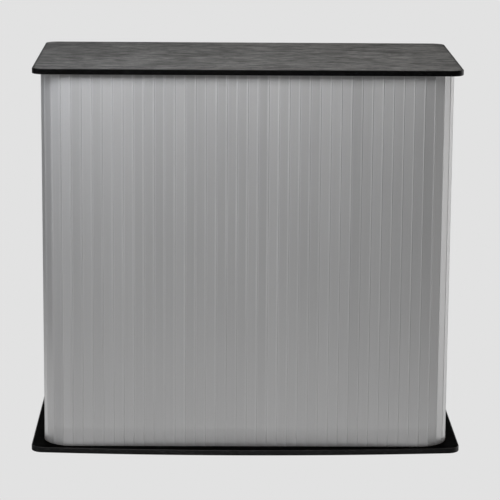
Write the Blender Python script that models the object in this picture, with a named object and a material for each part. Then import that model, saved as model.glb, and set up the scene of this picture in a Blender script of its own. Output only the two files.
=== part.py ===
"""Knock-down exhibition counter.

Two laminated boards carry a wrap of upright hinged aluminium slats between them.
The wrap stands in a routed U-shaped groove in each board. Four pairs of tube posts,
joined by studs through a shelf, carry the top, which lifts off its locating pins.

Metres, +Z up. The origin is on the floor under the middle of the base.
The closed slatted front faces -Y, the open side faces +Y.
"""

import math

import bmesh
import bpy
from mathutils import Vector

# ---------------------------------------------------------------- boards
TOP_W = 1.050            # width of the top
BASE_W = 1.074           # width of the base
HEIGHT = 0.965           # floor to upper face of the top
BOARD_T = 0.0135         # 12 mm core with laminate on both faces
BOARD_R = 0.030          # corner radius in plan
Y_BACK = 0.285           # back edge of both boards
Y_TOP_FRONT = -0.265     # straight front edge of the top
Y_BASE_FRONT = -0.260    # ends of the base's front edge
BASE_BOW = 0.025         # how far that edge bows forward in the middle
EDGE_T = 0.002           # thickness of the edge band
EDGE_R = 0.0015          # rounded arrises of the band
GAP = 0.0003             # glue line / fit gap between touching pieces

# ---------------------------------------------------------------- slat wrap
PITCH = 0.0254           # hinge to hinge
FACE = 0.0021            # flat outer face, out from the hinge line
BACK = 0.0039            # flat inner face, in from the hinge line
BEAD_R = 0.0026          # hinge bead, centred on the hinge line
SHOULDER = 0.0020        # end of a slat's flat beside a bead, from the hinge
NOTCH = 0.0018           # level of the shallow notch beside the bead
CHAMFER = 0.0002
NECK_IN = -0.0009        # inner side of the neck that carries an end bead
HEEL = 0.0030            # inner end of a slat under its end bead, from the hinge
HOLLOW_R = 0.00285       # hollow end of a slat, which takes its neighbour's bead
HOLLOW_IN = 0.0018       # inner end of that hollow, from the hinge
BODY_HALF_W = 0.5080     # outer flat faces of the side runs
Y_BODY_FRONT = -0.2470   # outer flat face of the front run
CORNER_R = 0.0750        # radius the outer faces turn through
FRONT_HINGES = 17        # hinges each side of the middle on the straight front run
CORNER_SLATS = 5         # slats that turn each front corner
SIDE_SLATS = 16          # slats of each straight side run
GROOVE_DEPTH = 0.006
GROOVE_OUT = 0.0034      # groove walls, from the hinge line
GROOVE_IN = 0.0067
GROOVE_END = 0.2725      # blind rear ends of the groove
WRAP_IN_TOP = 0.005      # how far the wrap reaches into the top's groove
END_PROFILE_BACK = 0.2712

# ---------------------------------------------------------------- posts, shelf, fasteners
POST_X = 0.440
POST_Y_FRONT = -0.178
POST_Y_BACK = 0.205
POST_R = 0.0125
POST_WALL = 0.002
POST_PLUG = 0.024        # solid threaded plug in each end of a tube
POST_CHAMFER = 0.0008
THREAD_R = 0.0040
THREAD_HOLE_R = 0.0043
CLEAR_HOLE_R = 0.0047
SHELF_Z = 0.476          # underside of the shelf
SHELF_R = 0.064
SHELF_X = 0.4970
SHELF_Y_FRONT = -0.2360
SHELF_Y_BACK = 0.262
STUD_REACH = 0.020       # how far a stud enters each post
BOLT_HEAD_R = 0.0080
BOLT_HEAD_H = 0.0042
BOLT_REACH = 0.020
PIN_R = 0.0050
PIN_H = 0.0078
SOCKET_R = 0.0080
SOCKET_BORE_R = 0.0054
SOCKET_H = 0.0085

Z_BASE = BOARD_T                      # upper face of the base
Z_TOP = HEIGHT - BOARD_T              # lower face of the top
HINGE_X = BODY_HALF_W - FACE          # hinge line of the side runs
HINGE_Y = Y_BODY_FRONT + FACE         # hinge line of the front run
HINGE_R = CORNER_R - FACE
CORNER_X = BODY_HALF_W - CORNER_R     # centre of the corner's turn
CORNER_Y = Y_BODY_FRONT + CORNER_R

for old in list(bpy.data.objects):
    bpy.data.objects.remove(old, do_unlink=True)


# ---------------------------------------------------------------- materials
def material(name, colour, roughness, metallic=0.0):
    mat = bpy.data.materials.new(name)
    mat.use_nodes = True
    shader = mat.node_tree.nodes["Principled BSDF"]
    shader.inputs["Base Color"].default_value = (*colour, 1.0)
    shader.inputs["Roughness"].default_value = roughness
    shader.inputs["Metallic"].default_value = metallic
    mat.diffuse_color = (*colour, 1.0)
    return mat


LAMINATE = material("black_ash_laminate", (0.045, 0.043, 0.041), 0.45)
EDGING = material("black_edging", (0.008, 0.008, 0.008), 0.30)
SILVER = material("silver_anodised_aluminium", (0.55, 0.56, 0.57), 0.35, 1.0)
TUBE = material("satin_aluminium_tube", (0.62, 0.62, 0.63), 0.30, 1.0)
ZINC = material("zinc_plated_steel", (0.58, 0.58, 0.60), 0.28, 1.0)
NYLON = material("black_nylon", (0.020, 0.020, 0.021), 0.55)


# ---------------------------------------------------------------- helpers
def empty(name, location, parent=None):
    obj = bpy.data.objects.new(name, None)
    bpy.context.scene.collection.objects.link(obj)
    obj.parent = parent
    obj.location = location
    obj.empty_display_size = 0.05
    return obj


def finish_mesh(bm, name, mat, smooth_angle=None):
    bmesh.ops.recalc_face_normals(bm, faces=bm.faces[:])
    mesh = bpy.data.meshes.new(name)
    bm.to_mesh(mesh)
    bm.free()
    if mat is not None:
        mesh.materials.append(mat)
    if smooth_angle is not None:
        mesh.shade_smooth()
        mesh.set_sharp_from_angle(angle=math.radians(smooth_angle))
    return mesh


def add(name, mesh, parent, location=(0.0, 0.0, 0.0)):
    """Links an object whose location is given in the world, under an unrotated parent."""
    obj = bpy.data.objects.new(name, mesh)
    bpy.context.scene.collection.objects.link(obj)
    obj.parent = parent
    above = Vector((0.0, 0.0, 0.0))
    step = parent
    while step is not None:
        above += step.location
        step = step.parent
    obj.location = Vector(location) - above
    return obj


def cutter(name, mesh, parent, location=(0.0, 0.0, 0.0)):
    obj = add(name, mesh, parent, location)
    obj.hide_render = True
    obj.display_type = "WIRE"
    return obj


def cut(obj, tool):
    mod = obj.modifiers.new(tool.name, "BOOLEAN")
    mod.operation = "DIFFERENCE"
    mod.solver = "EXACT"
    mod.object = tool


def filleted(corners, steps=8):
    """Outline points from (x, y, radius) corners, each radius turned into an arc."""
    out = []
    count = len(corners)
    for i, (x, y, radius) in enumerate(corners):
        here = Vector((x, y))
        if radius <= 0.0:
            out.append((x, y))
            continue
        to_prev = (Vector(corners[i - 1][:2]) - here).normalized()
        to_next = (Vector(corners[(i + 1) % count][:2]) - here).normalized()
        half = to_prev.angle(to_next) / 2.0
        centre = here + (to_prev + to_next).normalized() * (radius / math.sin(half))
        first = here + to_prev * (radius / math.tan(half)) - centre
        last = here + to_next * (radius / math.tan(half)) - centre
        a0 = math.atan2(first.y, first.x)
        turn = math.atan2(last.y, last.x) - a0
        turn = (turn + math.pi) % (2.0 * math.pi) - math.pi
        for s in range(steps + 1):
            a = a0 + turn * s / steps
            out.append((centre.x + radius * math.cos(a), centre.y + radius * math.sin(a)))
    return out


def top_outline(inset):
    x = TOP_W / 2.0 - inset
    y0, y1 = Y_TOP_FRONT + inset, Y_BACK - inset
    r = BOARD_R - inset
    return filleted([(-x, y1, r), (-x, y0, r), (x, y0, r), (x, y1, r)])


def base_outline(inset, steps=24):
    x = BASE_W / 2.0 - inset
    y0, y1 = Y_BASE_FRONT + inset, Y_BACK - inset
    r = BOARD_R - inset
    corners = [(-x, y1, r), (-x, y0, r)]
    for i in range(1, steps):
        t = 2.0 * i / steps - 1.0
        corners.append((x * t, y0 - BASE_BOW * (1.0 - t * t), 0.0))
    corners += [(x, y0, r), (x, y1, r)]
    return filleted(corners)


def prism(outline, z0, z1, name, mat, smooth_angle=None):
    """An upright solid over a plan outline."""
    bm = bmesh.new()
    floor = bm.faces.new([bm.verts.new((x, y, z0)) for x, y in outline])
    grown = bmesh.ops.extrude_face_region(bm, geom=[floor])
    moved = [v for v in grown["geom"] if isinstance(v, bmesh.types.BMVert)]
    bmesh.ops.translate(bm, verts=moved, vec=(0.0, 0.0, z1 - z0))
    return finish_mesh(bm, name, mat, smooth_angle)


def band(outline_at, section, name, mat):
    """A closed ring: a section of (inset, z) points carried round an outline."""
    bm = bmesh.new()
    loops = []
    for inset, z in section:
        loops.append([bm.verts.new((x, y, z)) for x, y in outline_at(inset)])
    for a, b in zip(loops, loops[1:] + loops[:1]):
        for i in range(len(a)):
            j = (i + 1) % len(a)
            bm.faces.new((a[i], a[j], b[j], b[i]))
    return finish_mesh(bm, name, mat, 35)


def band_section():
    """Edge-band section with rounded outer arrises, from its inner foot round to its inner head."""
    points = [(EDGE_T, 0.0)]
    for s in range(4):
        a = math.radians(30.0 * s)
        points.append((EDGE_R - EDGE_R * math.sin(a), EDGE_R - EDGE_R * math.cos(a)))
    for s in range(4):
        a = math.radians(30.0 * s)
        points.append((EDGE_R - EDGE_R * math.cos(a), BOARD_T - EDGE_R + EDGE_R * math.sin(a)))
    points.append((EDGE_T, BOARD_T))
    return points


def turned(profile, name, mat, sides=16, ring=False):
    """A turned solid from (radius, z) points. With ring the profile closes on itself round a bore."""
    bm = bmesh.new()
    loops = []
    for r, z in profile:
        if r == 0.0:
            loops.append([bm.verts.new((0.0, 0.0, z))])
        else:
            loops.append([
                bm.verts.new((r * math.cos(2.0 * math.pi * i / sides), r * math.sin(2.0 * math.pi * i / sides), z))
                for i in range(sides)
            ])
    pairs = list(zip(loops, loops[1:]))
    if ring:
        pairs.append((loops[-1], loops[0]))
    for a, b in pairs:
        for i in range(sides):
            j = (i + 1) % sides
            if len(a) == 1:
                bm.faces.new((a[0], b[j], b[i]))
            elif len(b) == 1:
                bm.faces.new((a[i], a[j], b[0]))
            else:
                bm.faces.new((a[i], a[j], b[j], b[i]))
    return finish_mesh(bm, name, mat, 35)


# ---------------------------------------------------------------- hinge line of the wrap
FRONT_RUN = CORNER_X
TURN_RUN = HINGE_R * math.pi / 2.0


def on_path(s):
    """Point of the right half of the hinge line, s metres from the middle of the front."""
    if s <= FRONT_RUN:
        return Vector((s, HINGE_Y))
    if s <= FRONT_RUN + TURN_RUN:
        a = (s - FRONT_RUN) / HINGE_R
        return Vector((CORNER_X + HINGE_R * math.sin(a), CORNER_Y - HINGE_R * math.cos(a)))
    return Vector((HINGE_X, CORNER_Y + s - FRONT_RUN - TURN_RUN))


def hinge_points(count):
    """Hinges one slat apart, measured straight across, from the end of the straight front run."""
    s = FRONT_HINGES * PITCH
    points = [on_path(s)]
    for _ in range(count):
        low, high = s, s + 1.6 * PITCH
        for _ in range(60):
            mid = (low + high) / 2.0
            if (on_path(mid) - points[-1]).length < PITCH:
                low = mid
            else:
                high = mid
        s = high
        points.append(on_path(s))
    return points


def wall_of_path(offset, y_end, steps=10):
    """The hinge line moved outwards by offset, from the left rear end round to the right rear end."""
    r = HINGE_R + offset
    right = []
    for i in range(steps + 1):
        a = math.radians(90.0 * i / steps)
        right.append((CORNER_X + r * math.sin(a), CORNER_Y - r * math.cos(a)))
    right.append((HINGE_X + offset, y_end))
    return [(-x, y) for x, y in reversed(right)] + right


def groove_outline():
    return wall_of_path(GROOVE_OUT, GROOVE_END) + wall_of_path(-GROOVE_IN, GROOVE_END)[::-1]


# ---------------------------------------------------------------- slat sections, u along the run, w outwards
def bead_over(u):
    """Outer side of a bead between two slats, from notch to notch."""
    reach = math.asin(NOTCH / BEAD_R)
    points = []
    for i in range(7):
        a = math.pi - reach - (math.pi - 2.0 * reach) * i / 6.0
        points.append((u + BEAD_R * math.cos(a), BEAD_R * math.sin(a)))
    return points


def bead_end(u):
    """A bead that ends a run: from the notch over the top, round the end, back to the neck and down the heel."""
    a0 = math.pi - math.asin(NOTCH / BEAD_R)
    a1 = -math.pi - math.asin(NECK_IN / BEAD_R)
    points = []
    for i in range(13):
        a = a0 + (a1 - a0) * i / 12.0
        points.append((u + BEAD_R * math.cos(a), BEAD_R * math.sin(a)))
    return points + [(u - HEEL, NECK_IN), (u - HEEL, -BACK)]


def hollow_start():
    """The hollow end of a slat, from its inner face up to its flat."""
    a0 = -math.acos(HOLLOW_IN / HOLLOW_R)
    a1 = math.asin(NOTCH / HOLLOW_R)
    points = [(HOLLOW_IN, -BACK)]
    for i in range(7):
        a = a0 + (a1 - a0) * i / 6.0
        points.append((HOLLOW_R * math.cos(a), HOLLOW_R * math.sin(a)))
    lip = points[-1][0]
    return points + [(lip, FACE - CHAMFER), (lip + CHAMFER, FACE)]


def flat_start(u):
    a = u + SHOULDER
    return [(a, NOTCH), (a, FACE - CHAMFER), (a + CHAMFER, FACE)]


def flat_end(u):
    b = u - SHOULDER
    return [(b - CHAMFER, FACE), (b, FACE - CHAMFER), (b, NOTCH)]


def run_section(slats, end_bead):
    """Section of a run of slats joined at their beads, from u = 0, where it takes its neighbour's bead."""
    points = hollow_start()
    for i in range(1, slats):
        points += flat_end(i * PITCH) + bead_over(i * PITCH) + flat_start(i * PITCH)
    last = slats * PITCH
    points += flat_end(last)
    if end_bead:
        points += bead_end(last)
    else:
        points += [(last - SHOULDER, -BACK)]
    return points


def front_section():
    """Section of the straight front run, with a bead at both ends."""
    half = FRONT_HINGES * PITCH
    right = flat_start(0.0)
    for i in range(1, FRONT_HINGES):
        right += flat_end(i * PITCH) + bead_over(i * PITCH) + flat_start(i * PITCH)
    right += flat_end(half) + bead_end(half)
    left = [(-u, w) for u, w in reversed(right)]
    return left + bead_over(0.0) + right


def laid(section, start, along):
    """Plan points of a section whose u runs from start along a direction, with w to the right of it."""
    along = along.normalized()
    out = Vector((along.y, -along.x))
    return [tuple(start + along * u + out * w) for u, w in section]


def mirrored(outline):
    return [(-x, y) for x, y in reversed(outline)]


# ---------------------------------------------------------------- assembly
counter = empty("counter", (0.0, 0.0, 0.0))
top_lift = empty("top_lift", (0.0, 0.0, Z_TOP), counter)

POSTS = {
    "front_left": (-POST_X, POST_Y_FRONT),
    "front_right": (POST_X, POST_Y_FRONT),
    "back_left": (-POST_X, POST_Y_BACK),
    "back_right": (POST_X, POST_Y_BACK),
}

# boards
base_board = add("base_board", prism(base_outline(EDGE_T + GAP), 0.0, BOARD_T, "base_board", LAMINATE), counter)
top_board = add("top_board", prism(top_outline(EDGE_T + GAP), 0.0, BOARD_T, "top_board", LAMINATE), top_lift, (0.0, 0.0, Z_TOP))
add("base_edge_band", band(base_outline, band_section(), "base_edge_band", EDGING), counter)
add("top_edge_band", band(top_outline, band_section(), "top_edge_band", EDGING), top_lift, (0.0, 0.0, Z_TOP))

groove = prism(groove_outline(), 0.0, GROOVE_DEPTH + 0.004, "groove_cutter", None)
cut(base_board, cutter("base_groove_cutter", groove, counter, (0.0, 0.0, Z_BASE - GROOVE_DEPTH)))
cut(top_board, cutter("top_groove_cutter", groove, top_lift, (0.0, 0.0, Z_TOP - 0.004)))

# shelf, banded along its open rear edge
shelf_board = add(
    "shelf_board",
    prism(
        filleted([
            (-SHELF_X, SHELF_Y_BACK - EDGE_T - GAP, 0.0),
            (-SHELF_X, SHELF_Y_FRONT, SHELF_R),
            (SHELF_X, SHELF_Y_FRONT, SHELF_R),
            (SHELF_X, SHELF_Y_BACK - EDGE_T - GAP, 0.0),
        ]),
        0.0, BOARD_T, "shelf_board", LAMINATE,
    ),
    counter, (0.0, 0.0, SHELF_Z),
)
edge = prism(
    filleted([
        (-SHELF_X, SHELF_Y_BACK, EDGE_R), (-SHELF_X, SHELF_Y_BACK - EDGE_T, 0.0),
        (SHELF_X, SHELF_Y_BACK - EDGE_T, 0.0), (SHELF_X, SHELF_Y_BACK, EDGE_R),
    ], 4),
    0.0, BOARD_T, "shelf_edge_band", EDGING,
)
add("shelf_edge_band", edge, counter, (0.0, 0.0, SHELF_Z))

# turned shapes shared by the four posts
hole_in_base = turned(
    [(0.0, -0.002), (BOLT_HEAD_R + 0.0007, -0.002), (BOLT_HEAD_R + 0.0007, 0.0008),
     (CLEAR_HOLE_R, BOLT_HEAD_H + 0.0008), (CLEAR_HOLE_R, BOARD_T + 0.002), (0.0, BOARD_T + 0.002)],
    "base_hole_cutter", None)
hole_in_shelf = turned(
    [(0.0, -0.002), (CLEAR_HOLE_R, -0.002), (CLEAR_HOLE_R, BOARD_T + 0.002), (0.0, BOARD_T + 0.002)],
    "shelf_hole_cutter", None)
hole_in_top = turned(
    [(0.0, -0.002), (SOCKET_R + GAP, -0.002), (SOCKET_R + GAP, SOCKET_H + 0.0008), (0.0, SOCKET_H + 0.0008)],
    "top_hole_cutter", None)
bolt = turned(
    [(0.0, 0.0034), (0.0029, 0.0030), (0.0029, 0.0004), (BOLT_HEAD_R, 0.0004), (BOLT_HEAD_R, 0.0007),
     (THREAD_R, BOLT_HEAD_H), (THREAD_R, Z_BASE + BOLT_REACH - 0.001), (THREAD_R - 0.0008, Z_BASE + BOLT_REACH),
     (0.0, Z_BASE + BOLT_REACH)],
    "base_bolt", ZINC)
stud = turned(
    [(0.0, -STUD_REACH), (THREAD_R - 0.0008, -STUD_REACH), (THREAD_R, -STUD_REACH + 0.001),
     (THREAD_R, BOARD_T + STUD_REACH - 0.001), (THREAD_R - 0.0008, BOARD_T + STUD_REACH), (0.0, BOARD_T + STUD_REACH)],
    "shelf_stud", ZINC)
pin = turned(
    [(0.0, -STUD_REACH), (THREAD_R - 0.0008, -STUD_REACH), (THREAD_R, -STUD_REACH + 0.001), (THREAD_R, GAP),
     (PIN_R, GAP), (PIN_R, PIN_H - 0.002), (PIN_R - 0.0008, PIN_H - 0.0006), (PIN_R - 0.002, PIN_H), (0.0, PIN_H)],
    "top_pin", ZINC)
socket = turned(
    [(SOCKET_BORE_R + 0.0006, 0.0002), (SOCKET_R, 0.0002), (SOCKET_R, SOCKET_H), (SOCKET_BORE_R - 0.002, SOCKET_H),
     (SOCKET_BORE_R - 0.002, SOCKET_H - 0.0002), (SOCKET_BORE_R, SOCKET_H - 0.0002), (SOCKET_BORE_R, 0.0008)],
    "top_socket", NYLON, ring=True)


def post_mesh(length, name):
    bore, inner = THREAD_HOLE_R, POST_R - POST_WALL
    return turned(
        [(POST_R - POST_CHAMFER, 0.0), (POST_R, POST_CHAMFER), (POST_R, length - POST_CHAMFER),
         (POST_R - POST_CHAMFER, length), (bore, length), (bore, length - POST_PLUG), (inner, length - POST_PLUG),
         (inner, POST_PLUG), (bore, POST_PLUG), (bore, 0.0)],
        name, TUBE, sides=20, ring=True)


lower_post = post_mesh(SHELF_Z - Z_BASE - 2.0 * GAP, "post_lower")
upper_post = post_mesh(Z_TOP - SHELF_Z - BOARD_T - 2.0 * GAP, "post_upper")

for where, (x, y) in POSTS.items():
    cut(base_board, cutter("base_hole_" + where, hole_in_base, counter, (x, y, 0.0)))
    cut(shelf_board, cutter("shelf_hole_" + where, hole_in_shelf, counter, (x, y, SHELF_Z)))
    cut(top_board, cutter("top_hole_" + where, hole_in_top, top_lift, (x, y, Z_TOP)))
    add("base_bolt_" + where, bolt, counter, (x, y, 0.0))
    add("post_lower_" + where, lower_post, counter, (x, y, Z_BASE + GAP))
    add("shelf_stud_" + where, stud, counter, (x, y, SHELF_Z))
    add("post_upper_" + where, upper_post, counter, (x, y, SHELF_Z + BOARD_T + GAP))
    add("top_pin_" + where, pin, counter, (x, y, Z_TOP - GAP))
    add("top_socket_" + where, socket, top_lift, (x, y, Z_TOP))

# slat wrap
wrap_z0 = Z_BASE - GROOVE_DEPTH + GAP
wrap_h = Z_TOP + WRAP_IN_TOP - wrap_z0
at_wrap = (0.0, 0.0, wrap_z0)


def slats(name, outline):
    add(name, prism(outline, 0.0, wrap_h, name, SILVER), counter, at_wrap)


slats("slat_run_front", laid(front_section(), Vector((0.0, HINGE_Y)), Vector((1.0, 0.0))))

hinges = hinge_points(CORNER_SLATS)
for i in range(CORNER_SLATS):
    outline = laid(run_section(1, True), hinges[i], hinges[i + 1] - hinges[i])
    slats(f"slat_corner_right_{i + 1}", outline)
    slats(f"slat_corner_left_{i + 1}", mirrored(outline))

side = laid(run_section(SIDE_SLATS, False), hinges[-1], Vector((0.0, 1.0)))
slats("slat_run_right", side)
slats("slat_run_left", mirrored(side))

# profile that closes each rear end of the wrap
end_y = hinges[-1].y + SIDE_SLATS * PITCH - SHOULDER + 0.0004
end_profile = filleted([
    (HINGE_X - 0.0054, end_y, 0.0006), (HINGE_X + 0.0025, end_y, 0.0006),
    (HINGE_X + 0.0025, END_PROFILE_BACK, 0.0020), (HINGE_X - 0.0054, END_PROFILE_BACK, 0.0020),
], 4)
slats("wrap_end_right", end_profile)
slats("wrap_end_left", mirrored(end_profile))
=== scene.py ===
"""Looks of the knock-down exhibition counter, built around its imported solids.

Metres, +Z up. The slatted front faces -Y, the open back faces +Y.
"""

import math
import random

import bmesh
import bpy
from mathutils import Matrix, Vector


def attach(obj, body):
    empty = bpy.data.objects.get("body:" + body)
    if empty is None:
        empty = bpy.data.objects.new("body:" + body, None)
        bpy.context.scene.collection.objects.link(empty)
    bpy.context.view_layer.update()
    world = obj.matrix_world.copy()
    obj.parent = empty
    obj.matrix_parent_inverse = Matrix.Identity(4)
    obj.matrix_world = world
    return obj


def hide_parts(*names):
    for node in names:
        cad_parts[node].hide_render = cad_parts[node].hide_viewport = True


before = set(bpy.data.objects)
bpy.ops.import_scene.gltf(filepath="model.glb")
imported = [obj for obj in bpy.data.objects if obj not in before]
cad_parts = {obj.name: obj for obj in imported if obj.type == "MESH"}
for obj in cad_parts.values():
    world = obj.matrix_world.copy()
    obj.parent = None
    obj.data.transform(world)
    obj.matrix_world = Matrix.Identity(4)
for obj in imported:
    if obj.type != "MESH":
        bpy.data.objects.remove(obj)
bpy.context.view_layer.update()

# ---------------------------------------------------------------- sizes, as in the solids
TOP_W, BASE_W, HEIGHT = 1.050, 1.074, 0.965
BOARD_T, BOARD_R = 0.0135, 0.030
Y_BACK, Y_TOP_FRONT, Y_BASE_FRONT, BASE_BOW = 0.285, -0.265, -0.260, 0.025
EDGE_T, EDGE_R = 0.002, 0.0015
SEAM = 0.00008                      # glue line between a board and its band
PITCH = 0.0254
FACE = 0.0021
BODY_HALF_W, Y_BODY_FRONT, CORNER_R = 0.5080, -0.2470, 0.0750
FRONT_HINGES, CORNER_SLATS, SIDE_SLATS = 17, 5, 16
GROOVE_DEPTH, GROOVE_OUT, GROOVE_IN, GROOVE_END = 0.006, 0.0034, 0.0067, 0.2725
WRAP_IN_TOP, END_PROFILE_BACK, SHOULDER = 0.005, 0.2712, 0.0020
POST_X, POST_Y_FRONT, POST_Y_BACK = 0.440, -0.178, 0.205
POST_R, POST_WALL, POST_PLUG = 0.0125, 0.002, 0.024
THREAD_R, THREAD_HOLE_R, CLEAR_HOLE_R = 0.0040, 0.0043, 0.0047
SHELF_Z, SHELF_R, SHELF_X = 0.476, 0.064, 0.4970
SHELF_Y_FRONT, SHELF_Y_BACK = -0.2360, 0.262
STUD_REACH, BOLT_REACH = 0.020, 0.020
BOLT_HEAD_R, BOLT_HEAD_H = 0.0080, 0.0042
PIN_R, PIN_H = 0.0050, 0.0078
SOCKET_R, SOCKET_BORE_R, SOCKET_H = 0.0080, 0.0054, 0.0085
GAP = 0.0003

Z_BASE, Z_TOP = BOARD_T, HEIGHT - BOARD_T
HINGE_X, HINGE_Y, HINGE_R = BODY_HALF_W - FACE, Y_BODY_FRONT + FACE, CORNER_R - FACE
CORNER_X, CORNER_Y = BODY_HALF_W - CORNER_R, Y_BODY_FRONT + CORNER_R
WRAP_Z0 = Z_BASE - GROOVE_DEPTH + GAP
WRAP_Z1 = Z_TOP + WRAP_IN_TOP
POSTS = {
    "front_left": (-POST_X, POST_Y_FRONT),
    "front_right": (POST_X, POST_Y_FRONT),
    "back_left": (-POST_X, POST_Y_BACK),
    "back_right": (POST_X, POST_Y_BACK),
}


# ---------------------------------------------------------------- shader helpers
class Shader:
    """A node material around one Principled BSDF."""

    def __init__(self, name):
        self.mat = bpy.data.materials.new(name)
        self.mat.use_nodes = True
        self.tree = self.mat.node_tree
        self.tree.nodes.clear()
        out = self.new("ShaderNodeOutputMaterial")
        self.bsdf = self.new("ShaderNodeBsdfPrincipled")
        self.tree.links.new(self.bsdf.outputs[0], out.inputs[0])
        self.coord = self.new("ShaderNodeTexCoord").outputs["Object"]

    def new(self, kind):
        return self.tree.nodes.new(kind)

    def put(self, socket, value):
        if isinstance(value, bpy.types.NodeSocket):
            self.tree.links.new(value, socket)
        else:
            socket.default_value = value

    def set(self, **values):
        for key, value in values.items():
            self.put(self.bsdf.inputs[key.replace("_", " ")], value)

    def scaled(self, scale, offset=(0.0, 0.0, 0.0), source=None):
        node = self.new("ShaderNodeMapping")
        self.put(node.inputs["Vector"], source or self.coord)
        node.inputs["Scale"].default_value = scale
        node.inputs["Location"].default_value = offset
        return node.outputs[0]

    def noise(self, vector, detail=2.0, rough=0.5, distortion=0.0, scale=1.0):
        node = self.new("ShaderNodeTexNoise")
        self.put(node.inputs["Vector"], vector)
        node.inputs["Scale"].default_value = scale
        node.inputs["Detail"].default_value = detail
        node.inputs["Roughness"].default_value = rough
        node.inputs["Distortion"].default_value = distortion
        return node.outputs[0]

    def cells(self, vector, scale=1.0):
        node = self.new("ShaderNodeTexVoronoi")
        self.put(node.inputs["Vector"], vector)
        node.inputs["Scale"].default_value = scale
        return node.outputs["Distance"]

    def math(self, op, a, b=0.0, c=0.0, clamp=False):
        node = self.new("ShaderNodeMath")
        node.operation = op
        node.use_clamp = clamp
        for socket, value in zip(node.inputs, (a, b, c)):
            self.put(socket, value)
        return node.outputs[0]

    def span(self, value, low, high, to_low=0.0, to_high=1.0, smooth=True):
        node = self.new("ShaderNodeMapRange")
        node.interpolation_type = "SMOOTHSTEP" if smooth else "LINEAR"
        self.put(node.inputs["Value"], value)
        for key, number in zip(("From Min", "From Max", "To Min", "To Max"), (low, high, to_low, to_high)):
            node.inputs[key].default_value = number
        return node.outputs[0]

    def ramp(self, value, stops):
        node = self.new("ShaderNodeValToRGB")
        self.put(node.inputs[0], value)
        points = node.color_ramp.elements
        while len(points) < len(stops):
            points.new(0.5)
        for point, (at, colour) in zip(points, stops):
            point.position = at
            point.color = (*colour, 1.0)
        return node.outputs[0]

    def mix(self, factor, a, b):
        node = self.new("ShaderNodeMix")
        node.data_type = "RGBA"
        self.put(node.inputs[0], factor)
        for socket, value in ((node.inputs[6], a), (node.inputs[7], b)):
            self.put(socket, value if isinstance(value, bpy.types.NodeSocket) else (*value, 1.0))
        return node.outputs[2]

    def attribute(self, name):
        node = self.new("ShaderNodeAttribute")
        node.attribute_type = "GEOMETRY"
        node.attribute_name = name
        return node.outputs["Fac"]

    def axis(self, name):
        node = self.new("ShaderNodeSeparateXYZ")
        self.put(node.inputs[0], self.coord)
        return node.outputs[name]

    def bump(self, height, strength, distance, under=None):
        node = self.new("ShaderNodeBump")
        node.inputs["Strength"].default_value = strength
        node.inputs["Distance"].default_value = distance
        self.put(node.inputs["Height"], height)
        if under is not None:
            self.put(node.inputs["Normal"], under)
        return node.outputs[0]


# ---------------------------------------------------------------- materials
def anodised_slat():
    s = Shader("anodised_slat")
    drawn = s.noise(s.scaled((1500.0, 1500.0, 1.6)), detail=2.0, rough=0.6)
    streak = s.noise(s.scaled((240.0, 240.0, 0.9), (3.1, 1.7, 0.0)), detail=2.0)
    cloud = s.noise(s.scaled((6.0, 6.0, 3.5)), detail=3.0)
    tone = s.attribute("slat_tone")
    value = s.math("MULTIPLY_ADD", s.math("SUBTRACT", drawn, 0.5), 0.30, 0.5)
    value = s.math("MULTIPLY_ADD", s.math("SUBTRACT", streak, 0.5), 0.26, value)
    value = s.math("MULTIPLY_ADD", s.math("SUBTRACT", cloud, 0.5), 0.12, value)
    # batches of profile differ in tone, more so towards one end of a bar
    differs = s.span(s.axis("Z"), 0.05, 0.90, 0.07, 0.30, smooth=False)
    value = s.math("MULTIPLY_ADD", tone, differs, value, clamp=True)
    colour = s.ramp(value, [(0.0, (0.4300, 0.4272, 0.4270)), (1.0, (0.5451, 0.5417, 0.5413))])
    # beads and arrises are lighter: partly wear, partly a painted highlight along each bead; the painted highlight
    # fades towards the floor and towards the sides, most at the right
    worn = s.math("MULTIPLY", s.attribute("wear"), s.span(cloud, 0.3, 0.7, 0.55, 1.0))
    worn = s.math("MULTIPLY", worn, s.span(s.axis("Z"), 0.22, 0.60, 0.50, 1.0))
    worn = s.math("MULTIPLY", worn, s.span(s.axis("X"), -0.35, -0.05, 0.78, 1.0))
    worn = s.math("MULTIPLY", worn, s.span(s.axis("X"), 0.05, 0.32, 1.0, 0.36))
    colour = s.mix(worn, colour, (0.700, 0.698, 0.700))
    # painted shade: the notches beside each bead are darkened towards near black
    colour = s.mix(s.math("MULTIPLY", s.attribute("painted_notch_shade"), 0.45), colour, (0.085, 0.084, 0.083))
    rough = s.math("MULTIPLY_ADD", s.math("SUBTRACT", drawn, 0.5), 0.16, 0.46)
    rough = s.math("MULTIPLY_ADD", s.math("SUBTRACT", cloud, 0.5), 0.04, rough)
    s.set(Base_Color=colour, Metallic=0.72, Roughness=rough, Specular_IOR_Level=0.45)
    s.set(Normal=s.bump(drawn, 0.10, 0.0004))
    return s.mat


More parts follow.
